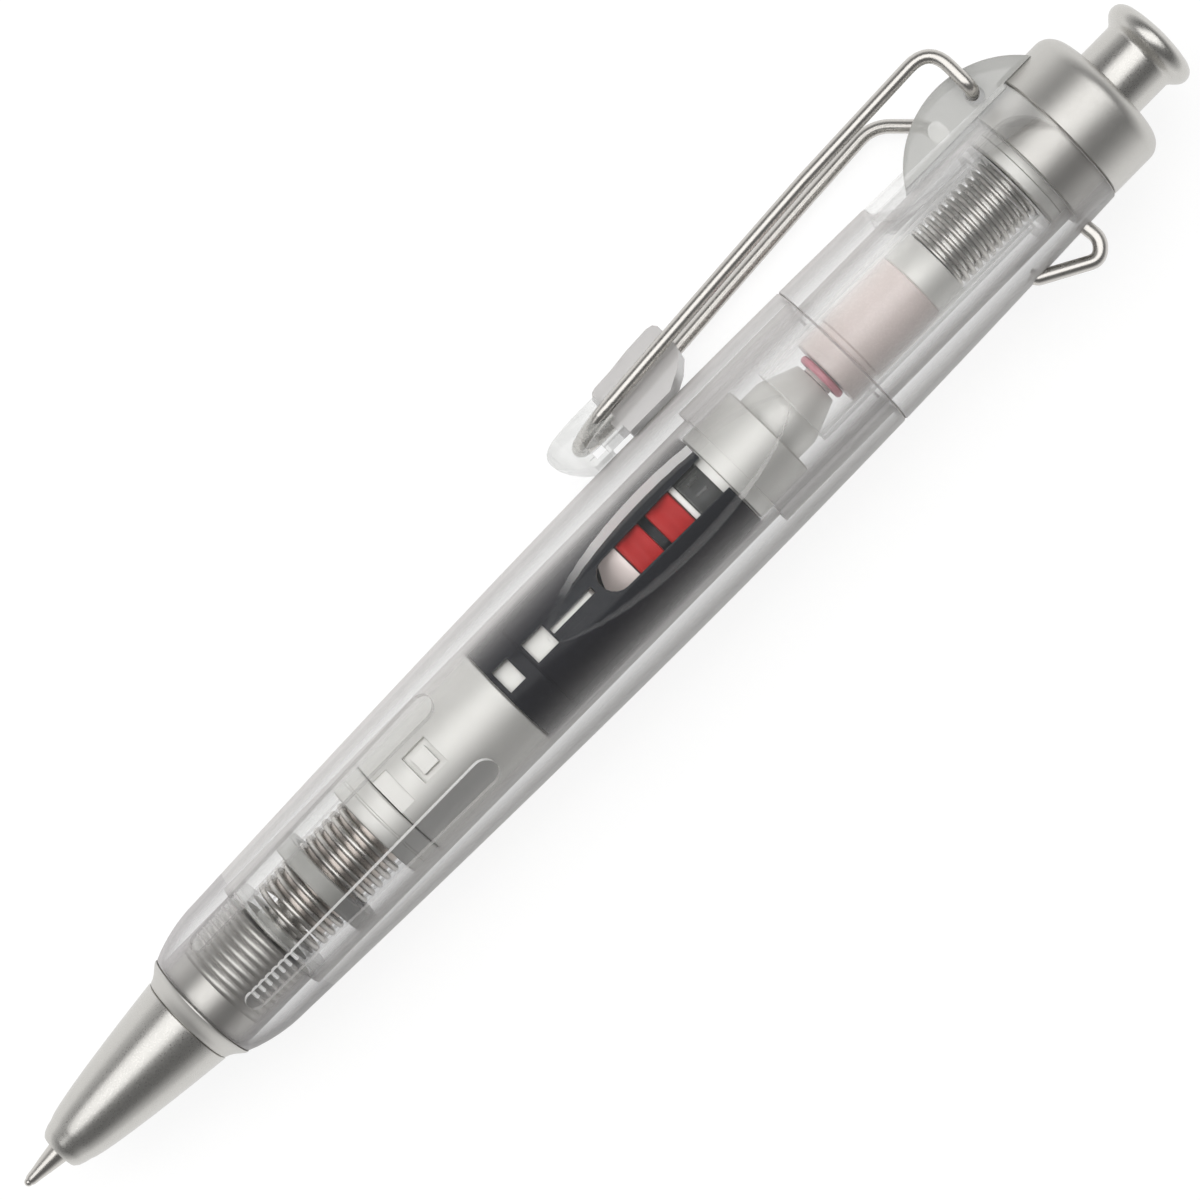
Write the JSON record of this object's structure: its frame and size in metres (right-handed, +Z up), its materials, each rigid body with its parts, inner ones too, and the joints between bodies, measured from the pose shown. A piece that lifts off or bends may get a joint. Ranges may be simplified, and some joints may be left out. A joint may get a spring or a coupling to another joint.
{
  "type": "ballpoint pen",
  "caption": "Pressurised knock ballpoint pen with a translucent barrel, windows, finger grooves, a sprung wire clip with a clear shoe, a wire lanyard loop and a screw-off silver nose.",
  "frame": {"origin": "centre of the pen's footprint, on the surface that it lies on", "axes": "+X along the pen towards the writing point, -Y towards the clip, +Z up; the pen lies on its belly and on the far cheek of its clip shoe, so the clip side points 10.5 degrees below -Y"},
  "size_m": [0.1244, 0.0218, 0.0141],
  "materials": {
    "frosted_plastic": "frosted translucent",
    "clear_plastic": "clear, polished",
    "satin_silver": "satin silver",
    "steel": "bright steel wire",
    "brass": "turned, pale",
    "ink": "black paste",
    "black_plastic": "glossy",
    "red_rubber": "satin",
    "pink_plastic": "glossy",
    "white_plastic": "glossy"
  },
  "bodies": {
    "barrel": {"barrel_lower": "frosted_plastic", "barrel_upper": "clear_plastic", "window_lens_near": "clear_plastic", "window_lens_far": "clear_plastic", "spring_seat": "black_plastic", "guide_collar": "clear_plastic", "inner_tube": "clear_plastic", "knock_guide": "satin_silver", "end_cap": "satin_silver", "clip_ear": "clear_plastic", "lanyard_loop": "steel", "return_spring": "steel"},
    "front_ring": {"front_ring": "satin_silver"},
    "nose": {"nose_cone": "satin_silver"},
    "clip": {"clip_wire": "steel", "clip_shoe": "clear_plastic"},
    "refill": {"refill_ball": "steel", "refill_point": "brass", "refill_tube": "steel", "ink": "ink", "holder_nut": "satin_silver", "refill_holder": "satin_silver", "pressure_cylinder": "black_plastic", "cylinder_end": "satin_silver", "valve_cone": "satin_silver", "plunger": "pink_plastic", "plunger_ring": "red_rubber", "rear_spring": "steel"},
    "knob": {"knock_knob": "satin_silver", "piston_rod": "steel", "piston_head": "pink_plastic", "piston_seal_front": "red_rubber", "piston_seal_rear": "red_rubber", "spacer_ring": "white_plastic", "stop_ring": "clear_plastic"},
    "rotor": {"cam_rotor": "white_plastic"}
  },
  "joints": [
    {"name": "clip_hinge", "type": "hinge", "parent": "barrel", "child": "clip", "pos_m": [-0.04693, -0.00497, 0.00581], "axis": [0, 0.1829, -0.9831], "range_deg": [0, 15], "stiffness_Nm_per_rad": 0.15, "springref_deg": -2.86},
    {"name": "refill_slide", "type": "slide", "parent": "barrel", "child": "refill", "axis": [-1, 0, 0], "range_m": [-0.001, 0.0042], "stiffness_N_per_m": 120, "springref_m": 0.012, "deforming": ["return_spring"]},
    {"name": "knob_stroke", "type": "slide", "parent": "refill", "child": "knob", "axis": [-1, 0, 0], "range_m": [-0.0005, 0.0021], "deforming": ["rear_spring"]},
    {"name": "rotor_turn", "type": "hinge", "parent": "knob", "child": "rotor", "pos_m": [-0.04782, 0.00172, 0.00705], "axis": [-1, 0, 0], "range_deg": [0, 90]},
    {"name": "ring_travel", "type": "slide", "parent": "barrel", "child": "front_ring", "axis": [1, 0, 0], "range_m": [0, 0.00508]},
    {"name": "nose_turn", "type": "hinge", "parent": "front_ring", "child": "nose", "pos_m": [0.05217, 0.00172, 0.00705], "axis": [1, 0, 0], "range_deg": [0, 2700]}
  ],
  "couplings": [
    {"joint": "knob_stroke", "follows": "refill_slide", "ratio": 0.5},
    {"joint": "nose_turn", "follows": "ring_travel", "rad_per_m": 9240}
  ]
}
